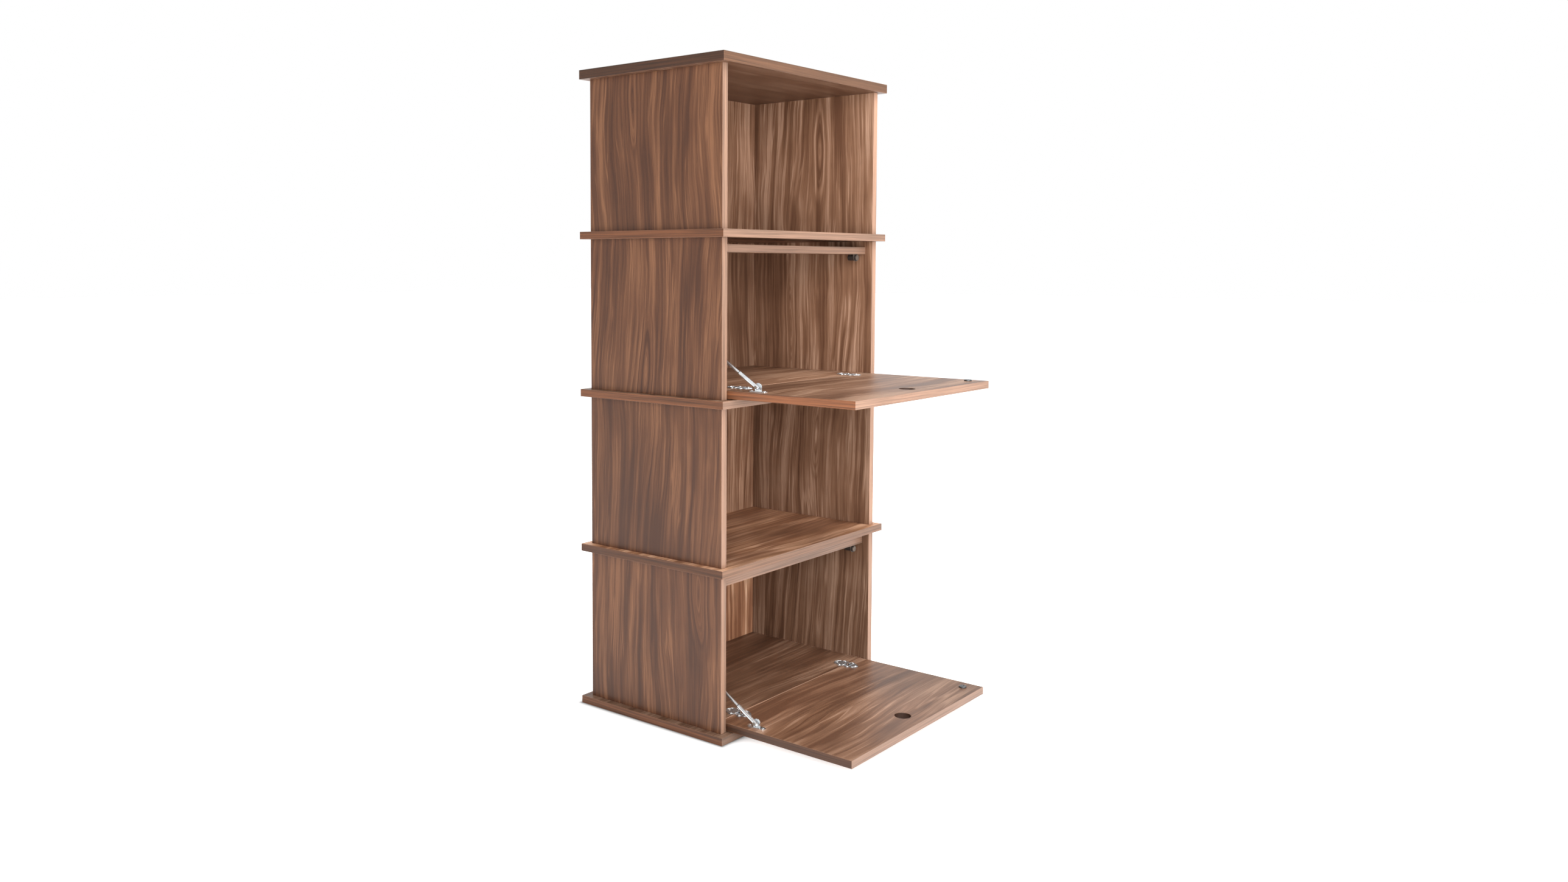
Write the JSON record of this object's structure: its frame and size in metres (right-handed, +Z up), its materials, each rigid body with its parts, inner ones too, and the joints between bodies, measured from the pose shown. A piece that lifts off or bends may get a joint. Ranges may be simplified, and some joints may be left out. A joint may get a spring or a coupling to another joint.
{
  "type": "cube storage unit",
  "caption": "Tall stacked storage tower in dark wood veneer with open bays and drop-down doors held level by metal stays.",
  "frame": {"origin": "centre of the base board's underside, on the floor", "axes": "+X to the right when facing the unit's open front, +Y from front to back, +Z up"},
  "size_m": [0.68, 0.757, 1.542],
  "materials": {
    "walnut": "satin lacquered veneer",
    "chrome": "polished",
    "nickel": "nickel plated",
    "dark_steel": "dark plated",
    "dark_plastic": "satin"
  },
  "bodies": {
    "carcass": {"base_board": "walnut", "shelf_1": "walnut", "shelf_2": "walnut", "shelf_3": "walnut", "top_board": "walnut", "bay1_left_side": "walnut", "bay1_right_side": "walnut", "bay1_back_panel": "walnut", "bay2_left_side": "walnut", "bay2_right_side": "walnut", "bay2_back_panel": "walnut", "bay3_left_side": "walnut", "bay3_right_side": "walnut", "bay3_back_panel": "walnut", "bay4_left_side": "walnut", "bay4_right_side": "walnut", "bay4_back_panel": "walnut", "bay1_floor_panel": "walnut", "bay1_head_rail": "walnut", "bay1_stay_rail": "dark_steel", "bay1_catch_bracket": "nickel", "bay1_catch_case": "dark_plastic", "bay1_catch_pole": "chrome", "bay1_left_hinge_floor_cup": "nickel", "bay1_left_hinge_arm": "nickel", "bay1_right_hinge_floor_cup": "nickel", "bay1_right_hinge_arm": "nickel", "bay3_floor_panel": "walnut", "bay3_head_rail": "walnut", "bay3_stay_rail": "dark_steel", "bay3_catch_bracket": "nickel", "bay3_catch_case": "dark_plastic", "bay3_catch_pole": "chrome", "bay3_left_hinge_floor_cup": "nickel", "bay3_left_hinge_arm": "nickel", "bay3_right_hinge_floor_cup": "nickel", "bay3_right_hinge_arm": "nickel"},
    "lower_door": {"bay1_door": "walnut", "bay1_left_hinge_door_cup": "nickel", "bay1_left_hinge_pin": "dark_steel", "bay1_right_hinge_door_cup": "nickel", "bay1_right_hinge_pin": "dark_steel", "bay1_stay_bracket": "chrome", "bay1_stay_rivet": "chrome", "bay1_strike_plate": "dark_steel"},
    "lower_stay": {"bay1_stay_tube": "chrome", "bay1_stay_rod": "chrome", "bay1_stay_roller": "dark_plastic"},
    "upper_door": {"bay3_door": "walnut", "bay3_left_hinge_door_cup": "nickel", "bay3_left_hinge_pin": "dark_steel", "bay3_right_hinge_door_cup": "nickel", "bay3_right_hinge_pin": "dark_steel", "bay3_stay_bracket": "chrome", "bay3_stay_rivet": "chrome", "bay3_strike_plate": "dark_steel"},
    "upper_stay": {"bay3_stay_tube": "chrome", "bay3_stay_rod": "chrome", "bay3_stay_roller": "dark_plastic"}
  },
  "joints": [
    {"name": "lower_door_hinge", "type": "hinge", "parent": "carcass", "child": "lower_door", "pos_m": [0, -0.192, 0.033], "axis": [-1, 0, 0], "range_deg": [0, 90]},
    {"name": "lower_stay_pivot", "type": "hinge", "parent": "lower_door", "child": "lower_stay", "pos_m": [-0.283, -0.27, 0.049], "axis": [-1, 0, 0], "range_deg": [-134.1, 0]},
    {"name": "upper_door_hinge", "type": "hinge", "parent": "carcass", "child": "upper_door", "pos_m": [0, -0.192, 0.793], "axis": [-1, 0, 0], "range_deg": [0, 90]},
    {"name": "upper_stay_pivot", "type": "hinge", "parent": "upper_door", "child": "upper_stay", "pos_m": [-0.283, -0.27, 0.809], "axis": [-1, 0, 0], "range_deg": [-134.1, 0]}
  ],
  "couplings": [
    {"joint": "lower_stay_pivot", "follows": "lower_door_hinge", "ratio": -1.49},
    {"joint": "upper_stay_pivot", "follows": "upper_door_hinge", "ratio": -1.49}
  ]
}
